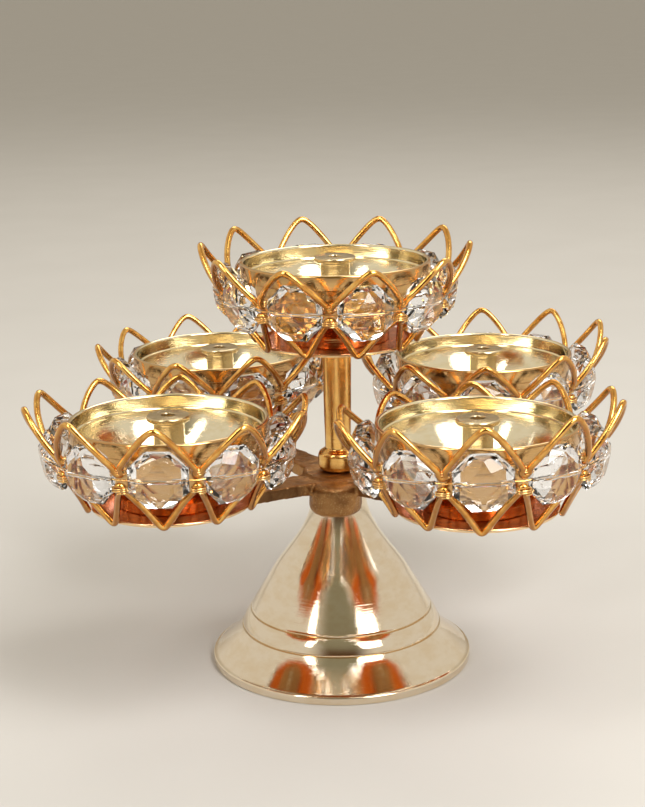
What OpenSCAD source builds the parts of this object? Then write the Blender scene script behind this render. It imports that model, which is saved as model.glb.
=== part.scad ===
// Standing brass oil lamp with five wick bowls: a bell-shaped base, a casting
// with four arms, a central stem, and five lamps.  Each lamp is a bowl
// clamped on a sheet disc by a screw-in wick post, inside a bent-wire basket
// that carries ten cut-glass beads.  The origin is on the table under the stem,
// +Z is up and the front is towards -Y.

/* [Base] */
// Radius of the ring that the lamp stands on
base_r = 34; // [31:0.5:42]
// Height of the bell-shaped base
base_h = 46; // [42:0.5:56]
// Wall of the base, measured level
base_wall = 1.5; // [1.2:0.1:2.5]
// Height of the upright edge of the base ring
foot_edge_h = 2.3; // [1.5:0.1:4]
// Radius of the neck at the top of the base
neck_r = 6.9; // [6.5:0.1:8.5]
// Thickness of the plate that closes the neck
neck_plate_t = 2; // [1.5:0.1:3]
// Radius of the base where its slope is steepest
waist_r = 17.6; // [14:0.1:19]
// Height of that place
waist_z = 24.3; // [20:0.1:28]
// Radius of the upper turned groove
upper_groove_r = 23.6; // [20:0.1:25]
// Height of the upper groove
upper_groove_z = 14.2; // [11:0.1:16]
// Radius of the lower turned groove
lower_groove_r = 25.9; // [25:0.1:28]
// Height of the lower groove
lower_groove_z = 9.9; // [6:0.1:10.5]

/* [Arm casting] */
// Radius of the hub in the middle of the casting
hub_r = 9.5; // [8.5:0.1:12]
// Thickness of the hub
hub_t = 5; // [4:0.1:8]
// How far the pads stand above the top of the hub
pad_rise = 2.2; // [1:0.1:5]
// Radius of the round pad at the end of each arm
pad_r = 9.3; // [8:0.1:12]
// Thickness of each pad
pad_t = 3.6; // [3:0.1:6]
// Thickness of the arms
arm_t = 3.2; // [2.5:0.1:4.5]
// Width of each arm at its waist
arm_waist_w = 7.6; // [6:0.1:10]
// Turn of the four arms about the stem, in degrees
arm_turn = -6; // [-15:1:15]
// Clear gap between the petal tips of neighbouring lower lamps
lamp_gap = 4; // [3:0.5:20]
// Radius of the rounded nose at the front of the hub
nose_r = 6.8; // [5:0.1:8]
// How far the middle of the nose is from the axis
nose_out = 8.2; // [6:0.1:10]

/* [Stem] */
// Height of the top lamp above the four lower lamps
tier_rise = 31.8; // [28:0.2:45]
// Radius of the stem just above its collar
stem_foot_r = 3.35; // [3.2:0.05:4.5]
// Radius of the stem at its top
stem_top_r = 3.75; // [3.4:0.05:5]
// Radius of the collar that rests on the hub
collar_r = 5.2; // [4.5:0.1:7]
// Height of the collar
collar_h = 5.5; // [4:0.1:8]

/* [Bowl] */
// Outer radius of the bowl at its rim
bowl_r = 24; // [22:0.5:27]
// Height of the bowl from its foot to its rim
bowl_h = 20.2; // [17:0.2:25]
// Wall of the bowl at its rim
bowl_wall = 1.1; // [0.8:0.1:1.6]
// Height of the plain band below the rim
band_h = 3.7; // [2.5:0.1:5]
// Depth of the step where the band ends
band_step = 0.6; // [0.3:0.1:1]
// Radius of the foot of the bowl
foot_r = 13.5; // [12:0.5:16]
// Thickness of the bowl's floor
bowl_floor_t = 3; // [2:0.1:4]

/* [Wick post] */
// Radius of the flat head of the wick post
head_r = 5.25; // [4.8:0.05:6.5]
// Thickness of the head
head_t = 1.4; // [1:0.1:2.5]
// How far the head stands above the bowl's rim
head_rise = 0.8; // [0:0.1:4]
// Radius of the body of the post
post_r = 3.75; // [3.3:0.05:4.5]
// Radius of the bore that takes the wick
wick_bore_r = 1.7; // [1.2:0.05:2.2]
// Depth of the wick bore below the head's top
wick_bore_depth = 14; // [8:0.5:15]
// Radius of the two oil holes near the foot of the post
oil_hole_r = 1.1; // [0.8:0.05:1.4]
// Radius of the screw stud below the post
stud_r = 2; // [1.8:0.05:2.5]
// Length of stud that is held by the pad or the stem
stud_grip = 3.4; // [2.5:0.1:3.5]
// Radius of the leather sealing washer
seal_r = 5; // [4.5:0.1:7]
// Thickness of the sealing washer
seal_t = 0.8; // [0.5:0.1:1.5]

/* [Basket] */
// How far the edge of the sheet disc lies inside the bowl's rim
disc_inset = 4.5; // [2:0.5:7]
// Thickness of the sheet disc
disc_t = 0.8; // [0.6:0.1:1.2]
// Radius of the basket wire
wire_r = 0.8; // [0.6:0.05:1]
// How far the petal tips stand out beyond the crossings of the wires
petal_flare = 5.2; // [3.4:0.2:13]
// Height of the petal tips above the bowl's rim
petal_tip_rise = 3.7; // [1:0.1:8]
// Space between the bowl's rim and the crossings, where the beads hang
bead_space = 4.6; // [4.4:0.1:8]
// Depth of the crossings below the bowl's rim
crossing_drop = 8; // [6:0.1:10]
// How far the legs of the petals bow outwards
petal_bow = 0.6; // [0:0.1:1.5]
// Inward bow of the struts, which pass behind the beads, less the thickness of their wire
strut_tuck = -0.9; // [-1.2:0.1:0]
// Radius of the thin wire that the glass beads hang on
tie_r = 0.22; // [0.15:0.01:0.3]

/* [Glass beads] */
// Radius of a bead to its corners
bead_r = 7.4; // [6:0.1:7.6]
// Thickness of a bead at its middle
bead_t = 6.4; // [5:0.1:7]
// Thickness of a bead at its edge
bead_edge_t = 1; // [0.6:0.1:1.6]
// Radius of the flat face of a bead
bead_table_r = 4; // [3:0.1:5]
// Lean of the beads from upright, in degrees
bead_lean = 9; // [0:1:20]

/* [Hidden] */
$fn = 96;

// Lamps: 0 front left, 1 front right, 2 back left, 3 back right, 4 top
LAMPS = ["front_left", "front_right", "back_left", "back_right", "top"];
PARTS = ["bowl", "wick_post", "seal_washer", "basket_disc", "petal_wire", "strut_wire", "glass_beads", "tie_wire"];

petals = 10;
petal_step = 360 / petals;
// Turn of each basket about its own axis, as it was soldered, in degrees
petal_turn = [18, 16, 2, 14, -3];
// Lean of each hand-bent basket: rise of its petal tips per millimetre along X and Y
basket_lean = [[-0.03, -0.06], [0.06, -0.1], [0.06, 0], [0.06, 0.02], [0, 0.05]];

// Clearances
screw_clear = 0.05;
hole_clear = 0.2;
solder_gap = 0.05;
// The most that a wire swells at a sharp bend
bend_swell = 1.1;
bead_bore_r = tie_r + 0.25;

// Base bolt, a metric 4 millimetre hexagon bolt and its washer
bolt_r = 2;
bolt_head_r = 4.04;
bolt_head_t = 2.8;
bolt_grip = 8;
bolt_washer_r = 4.5;
bolt_washer_t = 0.8;

// Heights in the whole lamp
hub_bottom = base_h;
hub_top = hub_bottom + hub_t;
pad_top = hub_top + pad_rise;
stem_top = pad_top + tier_rise;
plate_bottom = base_h - neck_plate_t;

// Heights in one lamp, above the underside of its disc
bowl_bottom = disc_t;
rim_z = bowl_bottom + bowl_h;
floor_z = bowl_bottom + bowl_floor_t;
shoulder_z = floor_z + seal_t;
head_top = rim_z + head_rise;
head_bottom = head_top - head_t;
disc_r = bowl_r - disc_inset;
crossing_r = bowl_r + bead_space;
petal_tip_r = crossing_r + petal_flare;
strut_bow = 2 * wire_r + strut_tuck;
strut_z = disc_t / 2;
strut_r = disc_r + wire_r + solder_gap;
crossing_z = rim_z - crossing_drop;
tip_z = rim_z + petal_tip_rise;
// Half the distance between the two wires that pass the tie wire at a crossing
crossing_half = bend_swell * wire_r + tie_r + 0.1;
// The beads hang on the straight run of tie wire between two crossings
bead_out = crossing_r * cos(petal_step / 2);

// Places of the lamps: neighbouring baskets keep lamp_gap between their wires
arm_reach = (petal_tip_r + wire_r + lamp_gap / 2) / sin(45);
lamp_angle = [for (a = [225, -45, 135, 45]) a + arm_turn];
lamp_place = concat(
    [for (a = lamp_angle) [arm_reach * cos(a), arm_reach * sin(a), pad_top]],
    [[0, 0, stem_top]]
);

// Points along an arc, with its centre, radius and end angles
function arc(c, r, a0, a1, n) =
    [for (i = [0:n]) c + r * [cos(a0 + (a1 - a0) * i / n), sin(a0 + (a1 - a0) * i / n)]];

// Points along a cubic curve, without its first point
function curve(p0, p1, p2, p3, n) =
    [for (i = [1:n]) let (t = i / n, s = 1 - t)
        s * s * s * p0 + 3 * s * s * t * p1 + 3 * s * t * t * p2 + t * t * t * p3];

// A list in the opposite order
function reversed(list) = [for (i = [len(list) - 1:-1:0]) list[i]];

// A disc with its two edges rounded
module rounded_disc(r, h, edge) {
    rotate_extrude()
        polygon(concat(
            [[0, 0]],
            arc([r - edge, edge], edge, -90, 0, 6),
            arc([r - edge, h - edge], edge, 0, 90, 6),
            [[0, h]]
        ));
}

// ---------------------------------------------------------------- base

// Outline of the bell from the neck down to its foot, with two turned grooves
waist = [waist_r, waist_z];
band_top = [upper_groove_r, upper_groove_z];
band_bottom = [lower_groove_r, lower_groove_z];
groove = 0.35;
foot_top = [base_r - 0.8, foot_edge_h];
bell_outer = concat(
    [[neck_r, base_h]],
    curve([neck_r, base_h], [neck_r, base_h - 10], waist + [-3.4, 5.5], waist, 16),
    curve(waist, waist + [2.2, -3.6], band_top + [-2, 3.6], band_top, 10),
    [band_top + [-groove, -groove], band_top + [groove, -2 * groove]],
    curve(band_top + [groove, -2 * groove], band_top + [1.1, -1.5], band_bottom + [-0.4, 1.5], band_bottom, 6),
    [band_bottom + [-groove, -groove], band_bottom + [groove, -2 * groove]],
    curve(band_bottom + [groove, -2 * groove], band_bottom + [1.9, -3.2], foot_top + [-2.5, 2], foot_top, 10),
    [[base_r, foot_edge_h - 0.5], [base_r, 0.3], [base_r - 0.3, 0]]
);
// The inside follows the outside at the wall's thickness and stays clear of the bolt
bell_inner = [for (p = bell_outer) if (p.y < plate_bottom) [p.x - base_wall, p.y <= 0.3 ? 0 : p.y]];

module base_bell() {
    color("#d9c08c")
        rotate_extrude()
            polygon(concat(
                [[bolt_r + hole_clear, base_h]],
                bell_outer,
                reversed(bell_inner),
                [[neck_r - base_wall, plate_bottom], [bolt_r + hole_clear, plate_bottom]]
            ));
}

module base_washer() {
    color("silver")
        translate([0, 0, plate_bottom - bolt_washer_t])
            difference() {
                cylinder(r = bolt_washer_r, h = bolt_washer_t);
                translate([0, 0, -1])
                    cylinder(r = bolt_r + hole_clear, h = bolt_washer_t + 2);
            }
}

module base_bolt() {
    head_z = plate_bottom - bolt_washer_t - bolt_head_t;
    color("silver")
        union() {
            translate([0, 0, head_z])
                cylinder(r = bolt_head_r, h = bolt_head_t, $fn = 6);
            translate([0, 0, head_z])
                cylinder(r = bolt_r, h = hub_top + bolt_grip - head_z);
        }
}

// ---------------------------------------------------------------- casting

// One arm: a flat bar with hollow sides that climbs from the hub to its pad
module arm() {
    climb = pad_top - pad_t / 2 - (hub_bottom + hub_t * 0.45);
    hub_w = 1.5 * arm_waist_w;
    pad_w = 1.6 * pad_r;
    side = concat(
        [[0, hub_w / 2]],
        curve([0, hub_w / 2], [arm_reach * 0.28, arm_waist_w / 2], [arm_reach * 0.45, arm_waist_w / 2],
            [arm_reach * 0.62, arm_waist_w / 2], 8),
        curve([arm_reach * 0.62, arm_waist_w / 2], [arm_reach * 0.75, arm_waist_w / 2],
            [arm_reach - pad_r, pad_w / 2 - 1], [arm_reach, pad_w / 2], 8)
    );
    translate([0, 0, hub_bottom + hub_t * 0.45])
        rotate([0, -atan(climb / arm_reach), 0])
            translate([0, 0, -arm_t / 2])
                linear_extrude(arm_t)
                    polygon(concat(side, [for (p = reversed(side)) [p.x, -p.y]]));
}

// The nose hugs the front of the neck, just below the arms
nose_t = hub_t + 3.4;
nose_bottom = hub_top - 0.6 - nose_t;
neck_seat_r = lookup(nose_bottom, [for (p = reversed(bell_outer)) [p.y, p.x]]) + hole_clear;
module nose() {
    rotate(arm_turn - 90)
        translate([nose_out, 0, nose_bottom])
            rounded_disc(nose_r, nose_t, 2.2);
}

module arm_casting() {
    color("#8a6a3c")
        difference() {
            union() {
                translate([0, 0, hub_bottom])
                    rounded_disc(hub_r, hub_t, 1);
                for (a = lamp_angle)
                    rotate(a)
                        arm();
                for (k = [0:3])
                    translate(lamp_place[k] - [0, 0, pad_t])
                        rounded_disc(pad_r, pad_t, 0.9);
                nose();
            }
            // Seat for the neck of the base
            translate([0, 0, nose_bottom - 1])
                cylinder(r = neck_seat_r, h = hub_bottom - nose_bottom + 1);
            translate([0, 0, hub_bottom - 1])
                cylinder(r = bolt_r + hole_clear, h = hub_t + 2);
            // Tapped holes for the wick posts
            for (k = [0:3])
                translate(lamp_place[k] - [0, 0, pad_t + 1])
                    cylinder(r = stud_r + screw_clear, h = pad_t + 2);
        }
}

// ---------------------------------------------------------------- stem

module stem() {
    length = stem_top - hub_top;
    bead = 1.6;
    color("#c79a4b")
        translate([0, 0, hub_top])
            difference() {
                rotate_extrude()
                    polygon(concat(
                        [[0, 0]],
                        arc([collar_r - bead, bead], bead, -90, 0, 6),
                        arc([collar_r - bead, collar_h - bead], bead, 0, 75, 6),
                        [[stem_foot_r, collar_h + 0.3], [stem_top_r, length], [0, length]]
                    ));
                // Tapped hole for the base bolt
                translate([0, 0, -1])
                    cylinder(r = bolt_r + screw_clear, h = bolt_grip + 1.5);
                // Tapped hole for the top lamp's wick post
                translate([0, 0, length - stud_grip - 1])
                    cylinder(r = stud_r + screw_clear, h = stud_grip + 2);
            }
}

// ---------------------------------------------------------------- lamps

module at_lamp(k) {
    translate(lamp_place[k])
        children();
}

// The bowl is turned all over: a plain band, a step, a round belly and a foot
module bowl(k) {
    lip = bowl_wall / 2;
    band_z = rim_z - band_h;
    belly_r = bowl_r - band_step;
    inner_r = bowl_r - bowl_wall;
    inner_belly_r = inner_r - band_step;
    foot_z = bowl_bottom + 3;
    foot_end = [foot_r + 0.6, foot_z];
    floor_end = [foot_r - 2, floor_z];
    outer = concat(
        [[stud_r + hole_clear, bowl_bottom], [foot_r - 0.3, bowl_bottom], [foot_r, bowl_bottom + 0.3]],
        [[foot_r, foot_z - 0.4], foot_end],
        curve(foot_end, [belly_r - 3.8, bowl_bottom + 5.6], [belly_r - 0.4, rim_z - band_h * 2.6],
            [belly_r, band_z - 0.3], 12),
        [[bowl_r, band_z]]
    );
    inner = concat(
        [[inner_r, band_z + 0.3], [inner_belly_r, band_z]],
        curve([inner_belly_r, band_z], [inner_belly_r - 0.4, rim_z - band_h * 2.4],
            [inner_belly_r - 4.6, floor_z + 3.8], floor_end, 12),
        [[stud_r + hole_clear, floor_z]]
    );
    color("#d8bf7a")
        at_lamp(k)
            rotate_extrude()
                polygon(concat(outer, arc([bowl_r - lip, rim_z - lip], lip, 0, 180, 8), inner));
}

// The wick stands in the bore; oil reaches it through the cross hole
module wick_post(k) {
    edge = 0.45;
    color("#c9a964")
        at_lamp(k)
            difference() {
                union() {
                    translate([0, 0, -stud_grip])
                        cylinder(r = stud_r, h = stud_grip + shoulder_z + 1);
                    translate([0, 0, shoulder_z])
                        cylinder(r = post_r, h = head_bottom - shoulder_z + 0.5);
                    translate([0, 0, head_bottom])
                        rounded_disc(head_r, head_t, edge);
                }
                translate([0, 0, head_top - wick_bore_depth])
                    cylinder(r = wick_bore_r, h = wick_bore_depth + 1);
                translate([-post_r - 1, 0, head_top - wick_bore_depth + oil_hole_r])
                    rotate([0, 90, 0])
                        cylinder(r = oil_hole_r, h = 2 * post_r + 2);
            }
}

module seal_washer(k) {
    color("#5a3a22")
        at_lamp(k)
            translate([0, 0, floor_z])
                difference() {
                    cylinder(r = seal_r, h = seal_t);
                    translate([0, 0, -1])
                        cylinder(r = stud_r + screw_clear, h = seal_t + 2);
                }
}

// A sheet disc with a rolled edge
module basket_disc(k) {
    roll = disc_t / 2 + 0.1;
    roll_angle = asin(disc_t / 2 / roll);
    color("#c8601e")
        at_lamp(k)
            rotate_extrude()
                polygon(concat(
                    [[stud_r + hole_clear, 0]],
                    arc([disc_r - roll, disc_t / 2], roll, -roll_angle, roll_angle, 6),
                    [[stud_r + hole_clear, disc_t]]
                ));
}

// ---------------------------------------------------------------- baskets

// Lean of a basket: nothing at the disc, all of it at the height of the tips
function leaned(p, k) =
    [p.x, p.y, p.z + (basket_lean[k] * [p.x, p.y]) * (p.z - strut_z) / (tip_z - strut_z)];

// Height along one leaf of a zigzag: 1 at its round tip (s = 0), then a leg down to
// s = turn_s, where it meets its neighbour, and a tight turn that ends at 0 (s = 1).
// turn_f is the height at which the straight foot of the leg starts, and round_f
// the height of the half circle below it.
tip_round = 0.2;
turn_h = 1.7;
turn_r = wire_r + 0.1;
turn_s = 1 - 2 * asin(turn_r / crossing_r) / petal_step;
function leaf(s, turn_f, round_f) =
    let (
        x = abs(s) / turn_s,
        leg = 1 - (sqrt(x * x + tip_round * tip_round) - tip_round) / (sqrt(1 + tip_round * tip_round) - tip_round),
        w = (1 - abs(s)) / (1 - turn_s)
    )
    x <= 1 ? turn_f + (1 - turn_f) * leg : round_f * (1 - sqrt(1 - w * w));

// Stations along half a leaf, closer together where the wire bends
half_leaf = [0.12, 0.4, turn_s, turn_s + 0.0001, 1 - (1 - turn_s) * sin(45)];
leaf_stations = concat([for (s = reversed(half_leaf)) -s], [0], half_leaf, [1]);

// Centre line of a closed zigzag: tips at (tip_r, tip_h), ends at (end_r, end_h)
function zigzag(k, tip_r, tip_h, end_r, end_h, bow) =
    [for (i = [0:petals - 1]) for (s = leaf_stations)
        let (
            f = leaf(s, turn_h / abs(tip_h - end_h), turn_r / abs(tip_h - end_h)),
            r = end_r + (tip_r - end_r) * f + bow * 4 * f * (1 - f),
            a = petal_turn[k] + petal_step * (i + s / 2)
        )
        leaned([r * cos(a), r * sin(a), end_h + (tip_h - end_h) * f], k)];

// Closed round wire along a loop of points around the Z axis
wire_sides = 6;
module loop_wire(path, r) {
    n = len(path);
    frames = [for (i = [0:n - 1])
        let (
            ahead = path[(i + 1) % n] - path[i],
            behind = path[i] - path[(i + n - 1) % n],
            along = ahead / norm(ahead) + behind / norm(behind),
            t = along / norm(along),
            radial = [path[i].x, path[i].y, 0],
            side = radial - (radial * t) * t,
            u = side / norm(side)
        )
        [u, cross(t, u), min(bend_swell, 2 / norm(along))]];
    points = [for (i = [0:n - 1]) for (j = [0:wire_sides - 1])
        let (a = 360 * (j + 0.5) / wire_sides)
        path[i] + r * (cos(a) * frames[i][0] + sin(a) * frames[i][2] * frames[i][1])];
    // Two triangles for each side of each length of wire, so that every face is flat
    faces = [for (i = [0:n - 1]) for (j = [0:wire_sides - 1]) for (half = [0, 1])
        let (
            a = i * wire_sides + j,
            b = i * wire_sides + (j + 1) % wire_sides,
            c = ((i + 1) % n) * wire_sides + j,
            d = ((i + 1) % n) * wire_sides + (j + 1) % wire_sides
        )
        half == 0 ? [a, b, d] : [a, d, c]];
    polyhedron(points, faces, convexity = 10);
}

// Ten petals, from the crossings up to the tips
module petal_wire(k) {
    color("#e09a30")
        at_lamp(k)
            loop_wire(zigzag(k, petal_tip_r, tip_z, crossing_r, crossing_z + crossing_half, petal_bow), wire_r);
}

// Ten struts, from the crossings down to the edge of the disc
module strut_wire(k) {
    color("#e09a30")
        at_lamp(k)
            loop_wire(zigzag(k, strut_r, strut_z, crossing_r, crossing_z - crossing_half, -strut_bow), wire_r);
}

// Thin wire from crossing to crossing, threaded through the beads
module tie_wire(k) {
    corners = [for (i = [0:petals - 1])
        let (a = petal_turn[k] + petal_step * (i + 0.5))
        leaned([crossing_r * cos(a), crossing_r * sin(a), crossing_z], k)];
    color("#f0c060")
        at_lamp(k)
            loop_wire(corners, tie_r);
}

// One eight-sided bead, cut alike on both faces, standing in the XZ plane
module bead() {
    corners = 8;
    rings = [
        [bead_table_r, -bead_t / 2],
        [bead_r, -bead_edge_t / 2],
        [bead_r, bead_edge_t / 2],
        [bead_table_r, bead_t / 2]
    ];
    points = [for (ring = rings) for (j = [0:corners - 1])
        let (a = 360 * (j + 0.5) / corners)
        [ring[0] * cos(a), ring[1], ring[0] * sin(a)]];
    sides = [for (i = [0:2]) for (j = [0:corners - 1])
        let (a = i * corners, n = (j + 1) % corners)
        [a + j, a + n, a + corners + n, a + corners + j]];
    front = [for (j = [corners - 1:-1:0]) j];
    back = [for (j = [0:corners - 1]) 3 * corners + j];
    difference() {
        polyhedron(points, concat(sides, [front, back]), convexity = 4);
        rotate([0, 90, 0])
            translate([0, 0, -bead_r - 1])
                cylinder(r = bead_bore_r, h = 2 * bead_r + 2, $fn = 16);
    }
}

module glass_beads(k) {
    color("#e8eef2", 0.6)
        at_lamp(k)
            for (i = [0:petals - 1]) {
                a = petal_turn[k] + petal_step * i;
                place = leaned([bead_out * cos(a), bead_out * sin(a), crossing_z], k);
                slope = leaned([-sin(a), cos(a), crossing_z], k).z - crossing_z;
                translate(place)
                    rotate(a + 90)
                        rotate([bead_lean, -atan(slope), 0])
                            bead();
            }
}

base_bell();
arm_casting();
stem();
base_bolt();
base_washer();
for (k = [0:4]) {
    bowl(k);
    wick_post(k);
    seal_washer(k);
    basket_disc(k);
    petal_wire(k);
    strut_wire(k);
    glass_beads(k);
    tie_wire(k);
}
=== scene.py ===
import math

import bmesh
import bpy
from mathutils import Matrix, Vector
from mathutils import noise as rough


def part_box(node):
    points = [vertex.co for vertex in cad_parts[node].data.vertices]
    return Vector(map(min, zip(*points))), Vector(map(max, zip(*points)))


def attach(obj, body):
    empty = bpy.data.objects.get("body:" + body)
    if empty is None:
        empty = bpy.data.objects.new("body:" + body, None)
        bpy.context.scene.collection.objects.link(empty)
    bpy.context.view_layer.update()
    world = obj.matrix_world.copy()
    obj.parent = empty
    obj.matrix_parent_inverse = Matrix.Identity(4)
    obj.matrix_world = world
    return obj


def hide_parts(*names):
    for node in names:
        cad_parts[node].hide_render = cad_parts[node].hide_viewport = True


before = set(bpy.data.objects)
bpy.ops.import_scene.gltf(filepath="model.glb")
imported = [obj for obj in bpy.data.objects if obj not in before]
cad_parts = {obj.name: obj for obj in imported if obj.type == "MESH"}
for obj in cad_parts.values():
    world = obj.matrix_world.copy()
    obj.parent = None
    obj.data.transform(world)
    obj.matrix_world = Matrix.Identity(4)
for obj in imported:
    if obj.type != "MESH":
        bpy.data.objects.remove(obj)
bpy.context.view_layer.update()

# ---------------------------------------------------------------- base bell
# The foot of the lamp is a hollow bell of spun brass with two grooves turned
# round its shoulder and an upright edge.  It is buffed to a pale mirror.

bell_low, bell_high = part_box("base_bell")
foot_radius = bell_high.x
bell_height = bell_high.z
neck_radius = 0.0069
neck_plate = 0.002
bell_wall = 0.0015
bolt_hole_in_sheet = 0.0022


def bend(start, pull_a, pull_b, end, steps):
    """Points of a smooth curve from start to end, without the first one."""
    points = []
    for i in range(1, steps + 1):
        t = i / steps
        s = 1 - t
        points.append(tuple(
            s ** 3 * a + 3 * s * s * t * b + 3 * s * t * t * c + t ** 3 * d
            for a, b, c, d in zip(start, pull_a, pull_b, end)
        ))
    return points


def rounded(centre, radius, from_angle, to_angle, steps=5):
    """Points of an arc, with its angles in degrees."""
    angles = [math.radians(from_angle + (to_angle - from_angle) * i / steps) for i in range(steps + 1)]
    return [(centre[0] + radius * math.cos(a), centre[1] + radius * math.sin(a)) for a in angles]


def turned(name, outline, centre=(0.0, 0.0), steps=160, sharp=32):
    """Spins a closed outline of (radius, height) round a lathe axis.  The mesh keeps where
    the tool passed, as (cosine, sine, path length in millimetres), in its lathe attribute."""
    mesh = bpy.data.meshes.new(name)
    bm = bmesh.new()
    lathe = bm.verts.layers.float_vector.new("lathe")
    rings, run = [], 0.0
    for i, (radius, height) in enumerate(outline):
        if i:
            run += math.dist(outline[i], outline[i - 1]) * 1000
        ring = []
        for j in range(steps if radius > 0 else 1):
            angle = math.tau * j / steps
            out = (math.cos(angle), math.sin(angle))
            vert = bm.verts.new((centre[0] + radius * out[0], centre[1] + radius * out[1], height))
            vert[lathe] = (out[0], out[1], run)
            ring.append(vert)
        rings.append(ring)
    count = len(rings)
    on_axis = len(rings[0]) == 1 and len(rings[-1]) == 1
    for i in range(count - 1 if on_axis else count):
        a, b = rings[i], rings[(i + 1) % count]
        for j in range(steps):
            n = (j + 1) % steps
            corners = list(dict.fromkeys([a[j % len(a)], a[n % len(a)], b[n % len(b)], b[j % len(b)]]))
            if len(corners) > 2:
                bm.faces.new(corners)
    bmesh.ops.recalc_face_normals(bm, faces=bm.faces)
    for face in bm.faces:
        face.smooth = True
    for edge in bm.edges:
        if len(edge.link_faces) == 2 and edge.calc_face_angle() > math.radians(sharp):
            edge.smooth = False
    bm.to_mesh(mesh)
    bm.free()
    piece = bpy.data.objects.new(name, mesh)
    bpy.context.scene.collection.objects.link(piece)
    return piece


class Signal:
    """An output socket that takes part in sums, so that a finish is written as arithmetic."""

    def __init__(self, graph, socket):
        self.graph = graph
        self.socket = socket

    def sum(self, operation, *values):
        return self.graph.node("ShaderNodeMath", {"operation": operation}, dict(enumerate(values)))

    def __add__(self, other):
        return self.sum("ADD", self, other)

    def __radd__(self, other):
        return self.sum("ADD", other, self)

    def __sub__(self, other):
        return self.sum("SUBTRACT", self, other)

    def __rsub__(self, other):
        return self.sum("SUBTRACT", other, self)

    def __mul__(self, other):
        return self.sum("MULTIPLY", self, other)

    def __rmul__(self, other):
        return self.sum("MULTIPLY", other, self)

    def __abs__(self):
        return self.sum("ABSOLUTE", self)

    def step(self, low, high):
        """0 below low, 1 above high, smooth between."""
        return self.graph.node(
            "ShaderNodeMapRange",
            {"interpolation_type": "SMOOTHSTEP"},
            {"Value": self, "From Min": low, "From Max": high},
        )


class Graph:
    """A shader tree whose nodes are made in one line each."""

    def __init__(self, tree):
        self.tree = tree

    def node(self, kind, settings, inputs, output=0):
        made = self.tree.nodes.new(kind)
        for key, value in settings.items():
            setattr(made, key, value)
        for key, value in inputs.items():
            if isinstance(value, Signal):
                self.tree.links.new(value.socket, made.inputs[key])
            else:
                made.inputs[key].default_value = value
        return Signal(self, made.outputs[output])

    def parts(self, vector):
        """The three parts of a vector."""
        split = self.node("ShaderNodeSeparateXYZ", {}, {0: vector})
        return [Signal(self, socket) for socket in split.socket.node.outputs]

    def noise(self, where, scale, detail=3.0, roughness=0.5):
        return self.node(
            "ShaderNodeTexNoise", {},
            {"Vector": where, "Scale": scale, "Detail": detail, "Roughness": roughness})

    def mix(self, factor, first, second):
        """first where factor is 0, second where it is 1; both are colours."""
        colours = {6: first, 7: second}
        colours = {k: v if isinstance(v, Signal) else (*v, 1) for k, v in colours.items()}
        return self.node("ShaderNodeMix", {"data_type": "RGBA"}, {0: factor, **colours}, 2)


class Finish(Graph):
    """One material: a Principled shader and the nodes that vary what it shows."""

    def __init__(self, name, **constants):
        self.material = bpy.data.materials.new(name)
        self.material.use_nodes = True
        super().__init__(self.material.node_tree)
        self.shader = self.tree.nodes["Principled BSDF"]
        for socket, value in constants.items():
            self.shader.inputs[socket.replace("_", " ")].default_value = value

    def place(self, size=(1.0, 1.0, 1.0), turn=(0.0, 0.0, 0.0)):
        """Where a point of the piece is, in millimetres, stretched by size."""
        here = self.node("ShaderNodeTexCoord", {}, {}, "Object")
        scale = tuple(1000 * s for s in size)
        return self.node("ShaderNodeMapping", {}, {"Vector": here, "Scale": scale, "Rotation": turn})

    def lathe(self, around, along):
        """Where the lathe tool was, scaled round the piece by around and along its path by along."""
        tool = self.node("ShaderNodeAttribute", {"attribute_name": "lathe"}, {}, "Vector")
        return self.node("ShaderNodeMapping", {}, {"Vector": tool, "Scale": (around, around, along)})

    def relief(self, height, depth, normal=None):
        """Bump of a height signal; depth is in millimetres."""
        inputs = {"Height": height, "Strength": 1.0, "Distance": depth / 1000}
        if normal:
            inputs["Normal"] = normal
        return self.node("ShaderNodeBump", {}, inputs)

    def show(self, **sockets):
        for socket, signal in sockets.items():
            self.tree.links.new(signal.socket, self.shader.inputs[socket.replace("_", " ")])
        return self.material


def buffed_brass(name, pale, warm, gloss, haze, ring_depth, outside=None):
    """Turned brass, buffed: faint tool rings, wiping haze and slow changes of colour; outside is how far the
    lathe's path runs over the outside, in millimetres, and the deeper colour painted there as a reflection."""
    finish = Finish(name, Metallic=1.0)
    rings = finish.noise(finish.lathe(0.6, 9.0), 1.0, 2.0, 0.6)
    wiping = finish.noise(finish.place((1.0, 1.0, 2.2)), 0.16, 4.0, 0.62)
    specks = finish.noise(finish.place(), 1.9, 2.0, 0.5).step(0.66, 0.78)
    colour = finish.mix(wiping.step(0.35, 0.72), pale, warm)
    if outside:
        # painted reflection: over the outside the colour is pulled most of the way to the deeper colour
        path = finish.parts(finish.lathe(1.0, 1.0))[2]
        colour = finish.mix(0.8 - 0.8 * path.step(outside[0], outside[0] + 0.8), colour, outside[1])
    colour = finish.mix(specks * 0.25, colour, tuple(0.72 * c for c in warm))
    roughness = gloss + haze * wiping.step(0.42, 0.75) + 0.06 * specks + 0.03 * rings
    return finish.show(
        Base_Color=colour,
        Roughness=roughness,
        Normal=finish.relief(rings, ring_depth),
    )


def cut_groove(at, depth):
    """A groove in the bell's wall, from its sharp upper edge to its lower one on the wider side."""
    x, z = at
    floor = x - depth * 0.9
    burr = 0.00012
    return [(x + burr, z - burr * 2 / 3), (floor, z - depth * 0.8),
            (floor, z - depth * 1.3), (x + depth * 0.8, z - depth * 1.75)]


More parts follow.
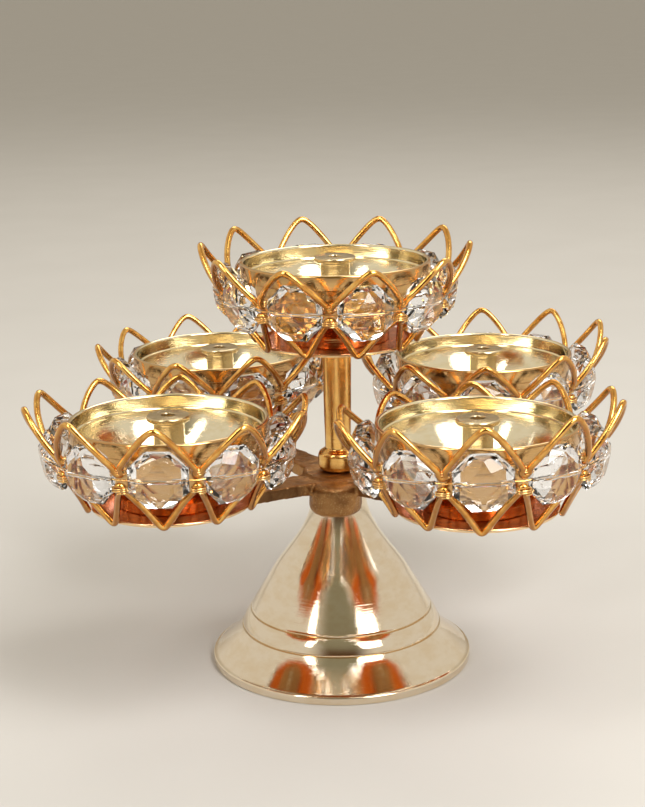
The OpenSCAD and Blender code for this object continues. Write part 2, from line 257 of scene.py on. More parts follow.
def bell_outline():
    groove = 0.00035
    foot_edge = 0.0023
    top = (neck_radius, bell_height)
    waist = (0.0176, 0.0243)
    band_top = (0.0236, 0.0142)
    band_bottom = (0.0259, 0.0099)
    foot_top = (foot_radius - 0.0008, foot_edge)
    upper = cut_groove(band_top, groove)
    lower = cut_groove(band_bottom, groove)
    outer = [top]
    outer += bend(top, (top[0], top[1] - 0.010), (waist[0] - 0.0034, waist[1] + 0.0055), waist, 40)
    outer += bend(waist, (waist[0] + 0.0022, waist[1] - 0.0036), (band_top[0] - 0.002, band_top[1] + 0.0036),
                  band_top, 26)
    outer += upper
    outer += bend(upper[-1], (band_top[0] + 0.0011, band_top[1] - 0.0015),
                  (band_bottom[0] - 0.0004, band_bottom[1] + 0.0015), band_bottom, 14)
    outer += lower
    outer += bend(lower[-1], (band_bottom[0] + 0.0019, band_bottom[1] - 0.0032),
                  (foot_top[0] - 0.0025, foot_top[1] + 0.002), foot_top, 24)
    upper_edge, lower_edge = 0.0005, 0.0004
    outer += rounded((foot_radius - upper_edge, foot_edge - 0.0006), upper_edge, 75, 0)
    outer += rounded((foot_radius - lower_edge, lower_edge), lower_edge, 0, -90)
    plate = bell_height - neck_plate
    inner = [(x - bell_wall, 0.0 if z < lower_edge * 0.75 else z) for x, z in outer if z < plate][::-1]
    hole = bolt_hole_in_sheet
    return [(hole, bell_height)] + outer + inner + [(neck_radius - bell_wall, plate), (hole, plate)]


bell = turned("base_bell_spun", bell_outline(), steps=224)
bell.data.materials.append(buffed_brass(
    "champagne_brass", (0.84, 0.73, 0.57), (0.80, 0.66, 0.47), 0.05, 0.05, 0.010))
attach(bell, "stand")
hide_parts("base_bell")

# ---------------------------------------------------------------- base bolt and washer
# A zinc-plated bolt comes up through the neck of the bell and the casting into
# the stem.  Only its head and washer can be seen, from underneath.


def zinc_plate():
    finish = Finish("zinc_plate", Metallic=1.0)
    spangle = finish.noise(finish.place(), 1.4, 3.0)
    return finish.show(
        Base_Color=finish.mix(spangle, (0.55, 0.56, 0.58), (0.72, 0.71, 0.66)),
        Roughness=0.22 + 0.2 * spangle,
        Normal=finish.relief(spangle, 0.02),
    )


zinc = zinc_plate()
for node in ("base_bolt", "base_washer"):
    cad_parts[node].data.materials.clear()
    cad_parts[node].data.materials.append(zinc)

# ---------------------------------------------------------------- arm casting
# The hub, its four arms and their round pads are one sand casting, left brown
# and grainy on top.  The rims of the pads were filed bright.


def cast_from(node, grain):
    """A CAD node with its edges softened and its skin pitted by the sand; grain is in millimetres."""
    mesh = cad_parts[node].data.copy()
    mesh.materials.clear()
    bm = bmesh.new()
    bm.from_mesh(mesh)
    bmesh.ops.remove_doubles(bm, verts=bm.verts, dist=1e-6)
    bmesh.ops.scale(bm, vec=(1000, 1000, 1000), verts=bm.verts)
    bm.to_mesh(mesh)
    bm.free()
    lump = bpy.data.objects.new(node + "_cast", mesh)
    bpy.context.scene.collection.objects.link(lump)
    remesh = lump.modifiers.new("skin", "REMESH")
    remesh.mode = "VOXEL"
    remesh.voxel_size = grain
    soften = lump.modifiers.new("soften", "SMOOTH")
    soften.factor = 0.5
    soften.iterations = 4
    graph = bpy.context.evaluated_depsgraph_get()
    baked = bpy.data.meshes.new_from_object(lump.evaluated_get(graph))
    lump.modifiers.clear()
    lump.data = baked
    skin = [(vert.co.copy(), vert.normal.copy()) for vert in baked.vertices]
    for vert, (here, out) in zip(baked.vertices, skin):
        swell = 0.14 * rough.noise(here * 0.3) + 0.07 * rough.noise(here * 1.1)
        sunk = 0.05
        vert.co = (here + out * (swell - sunk)) / 1000
    for polygon in baked.polygons:
        polygon.use_smooth = True
    return lump


def cast_skin():
    """Brown sand-cast brass with bright grains, painted shade on the arms' upright sides and filed rims on
    the pads.
    """
    arm_from, arm_full, pad_from, pad_full = 13, 18, 36, 41
    finish = Finish("cast_brown_brass", Metallic=1.0)
    here = finish.place()
    grains = finish.noise(here, 2.4, 5.0, 0.65)
    patches = finish.noise(here, 0.16, 3.0, 0.6)
    lumps = finish.noise(here, 0.45, 2.0, 0.4)
    strokes = finish.noise(finish.place((5.0, 5.0, 0.35)), 0.9, 3.0, 0.7)
    level = finish.place((1.0, 1.0, 0.0))
    out = finish.node("ShaderNodeVectorMath", {"operation": "LENGTH"}, {0: level}, "Value")
    facing = finish.node("ShaderNodeNewGeometry", {}, {}, "Normal")
    upright = 1 - abs(finish.parts(facing)[2]).step(0.25, 0.6)
    pad = out.step(pad_from, pad_full)
    filed = upright * pad * strokes.step(0.40, 0.6)
    # painted shade: the upright sides of the arms, short of the pads, are darkened towards near black
    painted_side_shade = upright * out.step(arm_from, arm_full) * (1 - pad) * 0.75
    skin = finish.mix(patches.step(0.35, 0.7), (0.46, 0.24, 0.09), (0.24, 0.11, 0.04))
    skin = finish.mix(grains.step(0.52, 0.74) * 0.75, skin, (0.72, 0.50, 0.22))
    # the painted shade is mixed into the skin colour here
    skin = finish.mix(painted_side_shade, skin, (0.09, 0.045, 0.02))
    return finish.show(
        Base_Color=finish.mix(filed * 0.85, skin, (0.74, 0.58, 0.33)),
        Roughness=0.34 - 0.12 * filed + 0.16 * grains,
        Normal=finish.relief(strokes * filed, 0.10, finish.relief(grains + 5 * lumps, 0.09)),
    )


casting = cast_from("arm_casting", 0.38)
casting.data.materials.append(cast_skin())
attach(casting, "stand")
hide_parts("arm_casting")

# ---------------------------------------------------------------- stem
# The stem is a turned brass rod with a rounded collar at its foot, where it
# stands on the hub.  It tapers out a little towards the top lamp.

stem_low, stem_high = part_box("stem")
collar_radius = stem_high.x
collar_height = 0.0055
stem_foot_radius = 0.00335
stem_top_radius = 0.00375
tapped_hole = 0.00205
bolt_depth = 0.0085
stud_depth = 0.0044


def stem_outline():
    """From the floor of the base bolt's hole, round the outside, to the floor of the stud's hole."""
    low, high = stem_low.z, stem_high.z
    bead = 0.0016
    outer = [(0.0, low + bolt_depth), (tapped_hole, low + bolt_depth), (tapped_hole, low)]
    outer += rounded((collar_radius - bead, low + bead), bead, -90, 0, 10)
    outer += rounded((collar_radius - bead, low + collar_height - bead), bead, 0, 75, 10)
    fillet = 0.0005
    outer += rounded((stem_foot_radius + fillet, low + collar_height + 0.0007), fillet, -100, -180, 6)
    rod_low, chamfer, parts = low + collar_height + 0.001, 0.0002, 12
    for i in range(parts + 1):
        outer.append((stem_foot_radius + (stem_top_radius - stem_foot_radius) * i / parts,
                      rod_low + (high - chamfer - rod_low) * i / parts))
    outer += [(stem_top_radius - chamfer, high), (tapped_hole, high)]
    outer += [(tapped_hole, high - stud_depth), (0.0, high - stud_depth)]
    return outer


stem = turned("stem_rod", stem_outline(), steps=96)
stem.data.materials.append(buffed_brass(
    "rod_brass", (0.90, 0.56, 0.19), (0.78, 0.42, 0.11), 0.12, 0.12, 0.03))
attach(stem, "stand")
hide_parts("stem")

# ---------------------------------------------------------------- basket discs
# Under every bowl lies a disc of thin sheet with a rolled edge.  It is washed
# with a red-gold lacquer, which glows through the glass beads.

LAMPS = ("front_left", "front_right", "back_left", "back_right", "top")
stud_hole = 0.0022


def lamp_axis(lamp):
    low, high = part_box(lamp + "_basket_disc")
    return (low.x + high.x) / 2, (low.y + high.y) / 2


def lacquered(name, light, deep, gloss, bare=None):
    """Metal under a coloured lacquer, a little uneven where it ran; bare is the stretch of the
    lathe's path, in millimetres, where the lacquer has worn through to pale brass."""
    finish = Finish(name, Metallic=1.0, Coat_Roughness=0.06)
    runs = finish.noise(finish.place(), 0.35, 3.0, 0.6)
    dust = finish.noise(finish.place(), 3.1, 2.0, 0.6)
    colour = finish.mix(runs.step(0.3, 0.7), light, deep)
    if bare:
        path = finish.parts(finish.lathe(1.0, 1.0))[2]
        worn = path.step(bare[0] - 0.3, bare[0]) * (1 - path.step(bare[1], bare[1] + 0.3))
        colour = finish.mix(worn * (0.6 + 0.6 * dust), colour, (0.95, 0.72, 0.42))
    return finish.show(
        Base_Color=colour,
        Roughness=gloss + 0.1 * runs + 0.05 * dust,
        Coat_Weight=0.06 + 0.14 * runs,
        Normal=finish.relief(runs + 0.2 * dust, 0.05),
    )


disc_finish = lacquered("red_gold_lacquer", (0.76, 0.185, 0.018), (0.52, 0.09, 0.008), 0.14,
                        bare=(16.9, 17.8))
for lamp in LAMPS:
    low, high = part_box(lamp + "_basket_disc")
    radius = (high.x - low.x) / 2
    thick = high.z - low.z
    roll = thick / 2 + 0.0001
    lift = math.degrees(math.asin(thick / 2 / roll))
    outline = [(stud_hole, low.z), (radius * 0.5, low.z)]
    outline += rounded((radius - roll, low.z + thick / 2), roll, -lift, lift, 10)
    outline += [(radius * 0.5, high.z), (stud_hole, high.z)]
    disc = turned(lamp + "_sheet_disc", outline, lamp_axis(lamp), 128)
    disc.data.materials.append(disc_finish)
    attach(disc, "stand")
    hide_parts(lamp + "_basket_disc")

# ---------------------------------------------------------------- bowls
# The oil bowls are turned brass cups: a plain band below the rim, a step, a
# round belly and a foot.  They are polished inside and out.


def bowl_outline(lamp):
    low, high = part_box(lamp + "_bowl")
    rim = (high.x - low.x) / 2
    foot, wall, step, thick = 0.0135, 0.0011, 0.0006, 0.003
    band_height, edge = 0.0037, 0.0003
    band = high.z - band_height
    floor = low.z + thick
    foot_top = low.z + 0.003
    lip = wall / 2
    belly = rim - step
    inside = rim - wall
    belly_inside = inside - step
    foot_end = (foot + 0.0006, foot_top)
    floor_end = (foot - 0.002, floor)
    outline = [(stud_hole, low.z), (foot - 0.0004, low.z)]
    outline += rounded((foot - edge, low.z + edge), edge, -80, 0)
    outline += [(foot, foot_top - 0.0006), (foot + 0.0001, foot_top - 0.0002), foot_end]
    outline += bend(foot_end, (belly - 0.0038, low.z + 0.0056), (belly - 0.0004, high.z - band_height * 2.6),
                    (belly, band - edge), 34)
    outline += rounded((rim - edge, band + 0.0002), edge, -90, 0)
    outline += rounded((rim - lip, high.z - lip), lip, 0, 180, 14)
    outline += [(inside, band + 0.0006)]
    outline += rounded((inside - edge, band + 0.0005), edge, 0, -70)
    outline += [(belly_inside + 0.0001, band + 0.0001)]
    outline += bend(outline[-1], (belly_inside - 0.0004, high.z - band_height * 2.4),
                    (belly_inside - 0.0046, floor + 0.0038), floor_end, 34)
    outline += [(foot * 0.45, floor), (stud_hole, floor)]
    return outline


# The bowls' outside carries a painted reflection, a deeper orange-brown than the pale inside.
bowl_finish = buffed_brass("bowl_brass", (0.89, 0.80, 0.58), (0.85, 0.72, 0.46), 0.05, 0.07, 0.018,
                           outside=(35.6, (0.58, 0.31, 0.08)))
for lamp in LAMPS:
    bowl = turned(lamp + "_oil_bowl", bowl_outline(lamp), lamp_axis(lamp), 192)
    bowl.data.materials.append(bowl_finish)
    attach(bowl, "stand")
    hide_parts(lamp + "_bowl")

# ---------------------------------------------------------------- seals and wick posts
# A leather washer seals the bowl's hole.  The wick post screws down on it:
# a flat head, a neck with a bore for the wick, and a screw stud below.


def oiled_leather():
    finish = Finish("oiled_leather", IOR=1.5)
    grain = finish.node("ShaderNodeTexVoronoi", {"feature": "DISTANCE_TO_EDGE"},
                        {"Vector": finish.place(), "Scale": 2.4})
    stain = finish.noise(finish.place(), 0.7, 3.0)
    return finish.show(
        Base_Color=finish.mix(stain, (0.10, 0.045, 0.022), (0.20, 0.10, 0.05)),
        Roughness=0.42 + 0.25 * stain,
        Normal=finish.relief(grain.step(0.0, 0.2), 0.05),
    )


leather = oiled_leather()
post_finish = buffed_brass("post_brass", (0.74, 0.62, 0.40), (0.60, 0.46, 0.26), 0.14, 0.14, 0.04)


def post_outline(lamp):
    low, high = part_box(lamp + "_wick_post")
    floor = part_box(lamp + "_seal_washer")[1].z
    head, neck, bore, stud = (high.x - low.x) / 2, 0.00375, 0.0017, 0.002
    head_low = high.z - 0.0014
    bore_low = high.z - 0.014
    pitch, root = 0.0007, 0.0003
    outline = [(0.0, low.z), (stud - 0.0004, low.z)]
    for i in range(int((floor - low.z) / pitch)):
        z = low.z + 0.0002 + i * pitch
        outline += [(stud - root, z), (stud, z + pitch * 0.4), (stud, z + pitch * 0.6)]
        outline.append((stud - root, z + pitch))
    foot_edge, fillet, head_edge, lip = 0.0003, 0.0006, 0.00045, 0.0002
    outline += [(stud - root, floor), (neck - foot_edge, floor)]
    outline += rounded((neck - foot_edge, floor + foot_edge), foot_edge, -60, 0)
    outline += [(neck, head_low - fillet)]
    outline += rounded((neck + fillet, head_low - fillet), fillet, 180, 90, 6)
    outline += rounded((head - head_edge, head_low + head_edge), head_edge, -90, 0)
    outline += rounded((head - head_edge, high.z - head_edge), head_edge, 0, 90)
    outline += [(bore + 2 * lip, high.z - 0.00003)]
    outline += rounded((bore + lip, high.z - lip), lip, 90, 180)
    outline += [(bore, bore_low), (0.0, bore_low - 0.0006)]
    return outline


for lamp in LAMPS:
    post = turned(lamp + "_wick_holder", post_outline(lamp), lamp_axis(lamp), 72)
    post.data.materials.append(post_finish)
    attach(post, lamp + "_post")
    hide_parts(lamp + "_wick_post")
    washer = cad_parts[lamp + "_seal_washer"]
    washer.data.materials.clear()
    washer.data.materials.append(leather)

# ---------------------------------------------------------------- basket wires
# Each basket is two bright gold wires bent into zigzags.  The upper one makes
# ten petals, the lower one ten struts that are soldered to the disc's edge.

PETALS = 10
wire_radius = 0.0008
tie_radius = 0.00022
crossing_radius = 0.0286
crossing_drop = 0.008
tip_radius = 0.0338
tip_rise = 0.0037
solder_gap = 0.00005
petal_bow = 0.0006
strut_bow = 0.0007
straight_foot = 0.0017
turn_from = 0.9
turn_radius = crossing_radius * math.sin((1 - turn_from) * math.pi / PETALS)
basket_turn = {"front_left": 18, "front_right": 16, "back_left": 2, "back_right": 14, "top": -3}
basket_lean = {
    "front_left": (-0.03, -0.06), "front_right": (0.06, -0.1), "back_left": (0.06, 0.0),
    "back_right": (0.06, 0.02), "top": (0.0, 0.05),
}


class Basket:
    """Where the wires and beads of one lamp go, from the lamp's own CAD nodes."""

    def __init__(self, lamp):
        self.axis = lamp_axis(lamp)
        self.turn = basket_turn[lamp]
        self.lean = basket_lean[lamp]
        disc_low, disc_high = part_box(lamp + "_basket_disc")
        self.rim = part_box(lamp + "_bowl")[1].z
        self.low = (disc_low.z + disc_high.z) / 2
        self.strut_radius = (disc_high.x - disc_low.x) / 2 + wire_radius + solder_gap
        self.tip = self.rim + tip_rise
        self.crossing = self.rim - crossing_drop

    def at(self, radius, degrees, height):
        """A point of the basket, with the lean that its soft wire has taken."""
        angle = math.radians(degrees)
        x, y = radius * math.cos(angle), radius * math.sin(angle)
        share = (height - self.low) / (self.tip - self.low)
        rise = (self.lean[0] * x + self.lean[1] * y) * share
        return Vector((self.axis[0] + x, self.axis[1] + y, height + rise))


def leaf(s, turn_share, round_share):
    """Height along one leaf of a zigzag, from its round tip (s = 0) down a leg to the short
    straight foot (s = turn_from) and the half circle that ends at s = 1."""
    tip_round = 0.2
    x = abs(s) / turn_from
    if x <= 1:
        leg = (math.hypot(x, tip_round) - tip_round) / (math.hypot(1, tip_round) - tip_round)
        return turn_share + (1 - turn_share) * (1 - leg)
    w = (1 - abs(s)) / (1 - turn_from)
    return round_share * (1 - math.sqrt(max(0.0, 1 - w * w)))


def leaf_stations():
    """Places along a leaf, close together where the wire bends."""
    half = [0.03, 0.06, 0.1, 0.14, 0.2, 0.28, 0.38, 0.5, 0.62, 0.74, 0.83, 0.88, turn_from]
    half += [1 - (1 - turn_from) * math.sin(math.radians(a)) for a in (89, 72, 54, 36, 18)]
    return [-s for s in reversed(half)] + [0.0] + half + [1.0]


def zigzag(basket, far_radius, far, end, bow):
    """The bends of one wire: round tips at far, tight turns at the crossings' side, at end."""
    points = []
    rise = abs(far - end)
    for i in range(PETALS):
        for s in leaf_stations():
            f = leaf(s, straight_foot / rise, turn_radius / rise)
            radius = crossing_radius + (far_radius - crossing_radius) * f + bow * 4 * f * (1 - f)
            degrees = basket.turn + 360 / PETALS * (i + s / 2)
            points.append(basket.at(radius, degrees, end + (far - end) * f))
    return points


def path_object(name, points, edges=None):
    """Points joined by edges, which a wire then follows; without edges they make a ring."""
    mesh = bpy.data.meshes.new(name)
    count = len(points)
    mesh.from_pydata(points, edges or [(i, (i + 1) % count) for i in range(count)], [])
    path = bpy.data.objects.new(name, mesh)
    bpy.context.scene.collection.objects.link(path)
    return path


def grow(tree, kind, settings, inputs):
    """One node of a geometry tree, with its settings first and then its inputs."""
    made = tree.nodes.new(kind)
    for key, value in settings.items():
        setattr(made, key, value)
    for key, value in inputs.items():
        if isinstance(value, bpy.types.NodeSocket):
            tree.links.new(value, made.inputs[key])
        else:
            made.inputs[key].default_value = value
    return made


def new_tree(name, inputs):
    """A geometry tree with a Geometry input and output and the named inputs."""
    tree = bpy.data.node_groups.new(name, "GeometryNodeTree")
    tree.interface.new_socket("Geometry", in_out="INPUT", socket_type="NodeSocketGeometry")
    for socket, kind in inputs.items():
        tree.interface.new_socket(socket, in_out="INPUT", socket_type=kind)
    tree.interface.new_socket("Geometry", in_out="OUTPUT", socket_type="NodeSocketGeometry")
    return tree, tree.nodes.new("NodeGroupInput").outputs


def close_tree(tree, geometry, material):
    solid = grow(tree, "GeometryNodeRealizeInstances", {}, {"Geometry": geometry})
    painted = grow(tree, "GeometryNodeSetMaterial", {},
                   {"Geometry": solid.outputs[0], "Material": material})
    output = tree.nodes.new("NodeGroupOutput")
    tree.links.new(painted.outputs[0], output.inputs[0])


def apply_tree(source, tree, values, name):
    """Runs a tree on an object and keeps the result as a plain mesh."""
    modifier = source.modifiers.new("tree", "NODES")
    modifier.node_group = tree
    sockets = {s.name: s.identifier for s in tree.interface.items_tree if s.in_out == "INPUT"}
    for key, value in values.items():
        modifier[sockets[key]] = value
    graph = bpy.context.evaluated_depsgraph_get()
    mesh = bpy.data.meshes.new_from_object(source.evaluated_get(graph))
    mesh.name = name
    source.modifiers.remove(modifier)
    bpy.data.objects.remove(source)
    made = bpy.data.objects.new(name, mesh)
    bpy.context.scene.collection.objects.link(made)
    return made


def wire_tree():
    """A round wire along a path."""
    tree, given = new_tree("wire_along_path", {
        "Radius": "NodeSocketFloat", "Sides": "NodeSocketInt", "Material": "NodeSocketMaterial"})
    curve = grow(tree, "GeometryNodeMeshToCurve", {}, {"Mesh": given["Geometry"]})
    section = grow(tree, "GeometryNodeCurvePrimitiveCircle", {"mode": "RADIUS"},
                   {"Resolution": given["Sides"], "Radius": given["Radius"]})
    sweep = grow(tree, "GeometryNodeCurveToMesh", {},
                 {"Curve": curve.outputs[0], "Profile Curve": section.outputs[0], "Fill Caps": True})
    smooth = grow(tree, "GeometryNodeSetShadeSmooth", {}, {"Geometry": sweep.outputs[0]})
    close_tree(tree, smooth.outputs[0], given["Material"])
    return tree


def gold_wire():
    """Bright gold plate under a clear lacquer, with a painted dark reflection on the underside of the wire.
    """
    finish = Finish("gold_wire", Metallic=1.0, Coat_Roughness=0.04)
    drawn = finish.noise(finish.place(), 0.5, 3.0, 0.6)
    nicks = finish.noise(finish.place(), 2.7, 3.0, 0.6)
    facing = finish.node("ShaderNodeNewGeometry", {}, {}, "Normal")
    # painted reflection: the downward-facing side of the wire is darkened towards deep red-brown, standing
    # in for dark surroundings
    under = 1 - finish.parts(facing)[2].step(-0.7, 0.2)
    gold = finish.mix(drawn.step(0.3, 0.7), (0.97, 0.58, 0.16), (0.70, 0.31, 0.05))
    return finish.show(
        Base_Color=finish.mix(0.8 * under, gold, (0.30, 0.10, 0.014)),
        Roughness=0.06 + 0.1 * nicks,
        Coat_Weight=0.3 + 0.2 * drawn,
        Normal=finish.relief(nicks, 0.035),
    )


along_path = wire_tree()
wire_finish = gold_wire()
baskets = {lamp: Basket(lamp) for lamp in LAMPS}
half_gap = 1.1 * wire_radius + tie_radius + 0.0001
round_wire = {"Radius": wire_radius, "Sides": 12, "Material": wire_finish}
for lamp, basket in baskets.items():
    petals = zigzag(basket, tip_radius, basket.tip, basket.crossing + half_gap, petal_bow)
    struts = zigzag(basket, basket.strut_radius, basket.low, basket.crossing - half_gap, -strut_bow)
    for part, points in (("petal_wire", petals), ("strut_wire", struts)):
        path = path_object(lamp + part, points)
        wire = apply_tree(path, along_path, round_wire, f"{lamp}_{part}_bent")
        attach(wire, "stand")
        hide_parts(f"{lamp}_{part}")

# ---------------------------------------------------------------- glass beads
# Ten eight-sided beads of clear cut glass hang in the openings between petals
# and struts.  Each is drilled through, and all ten share one thin tie wire.

BEAD_SIDES = 8
bead_radius = 0.0074
bead_half = 0.0032
bead_edge_half = 0.0005
bead_table = 0.004
break_radius = 0.00605
break_half = 0.0020
bead_bore = tie_radius + 0.00025
bead_lean = math.radians(9)


def cut_bead():
    """A flat table, a row of kites and a row of break facets on each face, and a thin edge."""
    rows = [
        (bead_table, -bead_half, 0.0), (break_radius, -break_half, 0.5), (bead_radius, -bead_edge_half, 0.0),
        (bead_radius, bead_edge_half, 0.0), (break_radius, break_half, 0.5), (bead_table, bead_half, 0.0),
    ]
    bm = bmesh.new()
    rings = []
    for radius, depth, shift in rows:
        angles = [math.tau * (j + 0.5 + shift) / BEAD_SIDES for j in range(BEAD_SIDES)]
        rings.append([bm.verts.new((radius * math.cos(a), depth, radius * math.sin(a))) for a in angles])
    for (a, row_a), (b, row_b) in zip(zip(rings, rows), zip(rings[1:], rows[1:])):
        for j in range(BEAD_SIDES):
            n = (j + 1) % BEAD_SIDES
            if row_a[2] == row_b[2]:
                bm.faces.new((a[j], a[n], b[n], b[j]))
            elif row_b[2] > row_a[2]:
                bm.faces.new((a[j], a[n], b[j]))
                bm.faces.new((a[n], b[n], b[j]))
            else:
                bm.faces.new((a[j], a[n], b[n]))
                bm.faces.new((a[j], b[n], b[j]))
    bm.faces.new(rings[0])
    bm.faces.new(rings[-1])
    bmesh.ops.recalc_face_normals(bm, faces=bm.faces)
    mesh = bpy.data.meshes.new("cut_bead")
    bm.to_mesh(mesh)
    bm.free()
    bead = bpy.data.objects.new("cut_bead", mesh)
    bpy.context.scene.collection.objects.link(bead)
    drill_mesh = bpy.data.meshes.new("bead_drill")
    bm = bmesh.new()
    bmesh.ops.create_cone(bm, cap_ends=True, segments=16, radius1=bead_bore, radius2=bead_bore,
                          depth=4 * bead_radius, matrix=Matrix.Rotation(math.pi / 2, 4, "Y"))
    bm.to_mesh(drill_mesh)
    bm.free()
    drill = bpy.data.objects.new("bead_drill", drill_mesh)
    bpy.context.scene.collection.objects.link(drill)
    bore = bead.modifiers.new("bore", "BOOLEAN")
    bore.object = drill
    bore.solver = "EXACT"
    graph = bpy.context.evaluated_depsgraph_get()
    drilled = bpy.data.meshes.new_from_object(bead.evaluated_get(graph))
    bead.modifiers.clear()
    bead.data = drilled
    bpy.data.objects.remove(drill)
    return bead


def clear_glass():
    finish = Finish("cut_glass", Metallic=0.0, IOR=1.52, Transmission_Weight=1.0)
    veil = finish.noise(finish.place(), 0.5, 3.0, 0.6)
    scuffs = finish.noise(finish.place(), 2.2, 4.0, 0.7).step(0.6, 0.75)
    return finish.show(
        Base_Color=finish.mix(veil, (0.985, 0.975, 0.985), (0.96, 0.965, 0.975)),
        Roughness=0.012 + 0.10 * scuffs,
        Normal=finish.relief(veil, 0.012),
    )


def bead_tree():
    """A bead on every point, turned as the point's facing attribute says."""
    tree, given = new_tree("beads_on_wire", {"Bead": "NodeSocketObject", "Material": "NodeSocketMaterial"})
    bead = grow(tree, "GeometryNodeObjectInfo", {"transform_space": "ORIGINAL"}, {"Object": given["Bead"]})
    facing = grow(tree, "GeometryNodeInputNamedAttribute", {"data_type": "FLOAT_VECTOR"}, {"Name": "facing"})
    turn = grow(tree, "FunctionNodeEulerToRotation", {}, {0: facing.outputs[0]})
    hung = grow(tree, "GeometryNodeInstanceOnPoints", {}, {
        "Points": given["Geometry"],
        "Instance": bead.outputs["Geometry"],
        "Rotation": turn.outputs[0],
    })
    close_tree(tree, hung.outputs[0], given["Material"])
    return tree


bead = cut_bead()
glass = clear_glass()
on_wire = bead_tree()
bead_out = crossing_radius * math.cos(math.pi / PETALS)
for lamp, basket in baskets.items():
    points, facings = [], []
    for i in range(PETALS):
        degrees = basket.turn + 360 / PETALS * i
        right = basket.at(bead_out, degrees + 5, basket.crossing)
        left = basket.at(bead_out, degrees - 5, basket.crossing)
        side = right - left
        slope = math.atan2(side.z, math.hypot(side.x, side.y))
        turn = Matrix.Rotation(math.radians(degrees + 90), 3, "Z")
        turn = turn @ Matrix.Rotation(-slope, 3, "Y") @ Matrix.Rotation(bead_lean, 3, "X")
        points.append(basket.at(bead_out, degrees, basket.crossing))
        facings.append(turn.to_euler())
    string = path_object(lamp + "_bead_points", points)
    facing = string.data.attributes.new("facing", "FLOAT_VECTOR", "POINT")
    facing.data.foreach_set("vector", [c for f in facings for c in f])
    beads = apply_tree(string, on_wire, {"Bead": bead, "Material": glass}, lamp + "_cut_beads")
    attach(beads, "stand")
    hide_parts(lamp + "_glass_beads")
bpy.data.objects.remove(bead)

# ---------------------------------------------------------------- tie wires
# A thin wire runs through the ten beads from crossing to crossing, and short
# bindings of the same wire lash the petals and struts together where they meet.

tie_finish = lacquered("tie_gold", (0.95, 0.66, 0.28), (0.85, 0.50, 0.16), 0.14)
binding_rise = 0.0021


def binding(basket, degrees, up):
    """Two and a half turns of thin wire round the two legs that meet at a crossing."""
    centre = basket.at(crossing_radius, degrees, basket.crossing + up)
    angle = math.radians(degrees)
    out = Vector((math.cos(angle), math.sin(angle), 0))
    side = Vector((-math.sin(angle), math.cos(angle), 0))
    turns, steps = 2.5, 14
    wide = 1.95 * wire_radius + tie_radius
    deep = wire_radius + tie_radius
    points = []
    for i in range(int(turns * steps) + 1):
        a = math.tau * i / steps
        lift = (i / (turns * steps) - 0.5) * turns * 2.3 * tie_radius
        points.append(centre + out * deep * math.cos(a) + side * wide * math.sin(a) + Vector((0, 0, lift)))
    return points


for lamp, basket in baskets.items():
    corners = [basket.at(crossing_radius, basket.turn + 360 / PETALS * (i + 0.5), basket.crossing)
               for i in range(PETALS)]
    tie = apply_tree(path_object(lamp + "_tie_path", corners), along_path,
                     {"Radius": tie_radius, "Sides": 8, "Material": tie_finish}, lamp + "_tie_wire_strung")
    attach(tie, "stand")
    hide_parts(lamp + "_tie_wire")
    points, edges = [], []
    for i in range(PETALS):
        degrees = basket.turn + 360 / PETALS * (i + 0.5)
        for up in (binding_rise, -binding_rise):
            turn = binding(basket, degrees, up)
            edges += [(len(points) + j, len(points) + j + 1) for j in range(len(turn) - 1)]
            points += turn
    lashing = apply_tree(path_object(lamp + "_binding_path", points, edges), along_path,
                         {"Radius": tie_radius * 0.9, "Sides": 6, "Material": tie_finish},
                         lamp + "_lashings")
    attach(lashing, "stand")

# ---------------------------------------------------------------- studio
# A pale floor, one large soft window light from the front right, a weaker fill
# from the left and a pale room.  The camera looks a little down on the lamp.


def plain_floor():
    finish = Finish("pale_floor")
    mottle = finish.noise(finish.place(), 0.02, 2.0)
    return finish.show(
        Base_Color=finish.mix(mottle, (0.54, 0.525, 0.50), (0.58, 0.565, 0.54)),
        Roughness=0.7 + 0.1 * mottle,
    )


floor_mesh = bpy.data.meshes.new("floor")
reach = 14.0
corners = [(x * reach, y * reach, 0) for x, y in ((-1, -1), (1, -1), (1, 1), (-1, 1))]
floor_mesh.from_pydata(corners, [], [(0, 1, 2, 3)])
floor_mesh.materials.append(plain_floor())
floor = bpy.data.objects.new("floor", floor_mesh)
bpy.context.scene.collection.objects.link(floor)
lamp_middle = 0.06


def soft_light(name, azimuth, elevation, distance, size, watts, colour):
    """A soft box at an azimuth from the camera's side, turned to the middle of the lamp."""
    a, e = math.radians(azimuth), math.radians(elevation)
    away = Vector((math.sin(a) * math.cos(e), -math.cos(a) * math.cos(e), math.sin(e)))
    light = bpy.data.lights.new(name, "AREA")
    light.shape = "RECTANGLE"
    light.size, light.size_y = size
    light.energy = watts
    light.color = colour
    box = bpy.data.objects.new(name, light)
    box.location = Vector((0, 0, lamp_middle)) + away * distance
    box.rotation_euler = away.to_track_quat("Z", "Y").to_euler()
    bpy.context.scene.collection.objects.link(box)


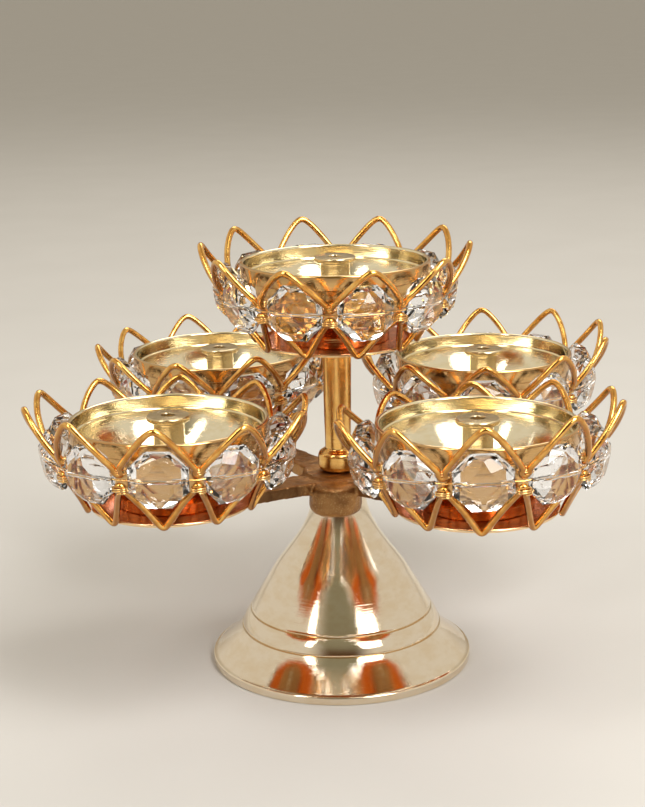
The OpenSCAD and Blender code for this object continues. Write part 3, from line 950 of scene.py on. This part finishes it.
soft_light("window", 37, 46, 1.0, (0.34, 0.80), 10, (1.0, 0.99, 0.97))
soft_light("left_strip", -41, 46, 1.0, (0.09, 0.70), 2.6, (1.0, 0.98, 0.95))
soft_light("back_fill", 165, 50, 1.2, (0.8, 0.5), 4, (1.0, 0.96, 0.90))


def pale_room():
    """Cream walls at both sides, a shaded olive wall in front and a brown one behind the camera's back."""
    world = bpy.data.worlds.new("room")
    world.use_nodes = True
    bpy.context.scene.world = world
    room = Graph(world.node_tree)
    x, y, z = room.parts(room.node("ShaderNodeTexCoord", {}, {}, "Generated"))
    side = abs(x).step(0.22, 0.62)
    above = z.step(0.15, 0.7)
    front = (0.0 - y).step(0.1, 0.6)
    shade = room.mix(above, (0.10, 0.055, 0.03), (0.27, 0.25, 0.17))
    behind = room.mix(above, (0.40, 0.33, 0.24), (0.50, 0.44, 0.33))
    walls = room.mix(front, behind, shade)
    walls = room.mix(side, walls, (0.74, 0.69, 0.61))
    seen = room.node("ShaderNodeLightPath", {}, {}, "Is Camera Ray")
    background = world.node_tree.nodes["Background"]
    colour = room.mix(seen, walls, (0.62, 0.60, 0.57))
    world.node_tree.links.new(colour.socket, background.inputs["Color"])


pale_room()

camera_distance = 0.4403
camera_height_angle = math.radians(15.64)
camera_yaw, camera_pitch, camera_roll = math.radians(0.50), math.radians(1.08), math.radians(-1.0)
aim_height = 0.060
camera = bpy.data.cameras.new("camera")
camera.sensor_width = 36
camera.lens = 76.149
camera.clip_start = 0.01
view = bpy.data.objects.new("camera", camera)
bpy.context.scene.collection.objects.link(view)
look = Matrix.Rotation(math.pi / 2 - camera_height_angle, 4, "X")
look = look @ Matrix.Rotation(camera_yaw, 4, "Y")
look = look @ Matrix.Rotation(camera_pitch, 4, "X")
look = look @ Matrix.Rotation(camera_roll, 4, "Z")
stand_point = Matrix.Translation((0, -camera_distance * math.cos(camera_height_angle),
                                  aim_height + camera_distance * math.sin(camera_height_angle)))
view.matrix_world = stand_point @ look
bpy.context.scene.camera = view
bpy.context.scene.view_settings.view_transform = "Standard"
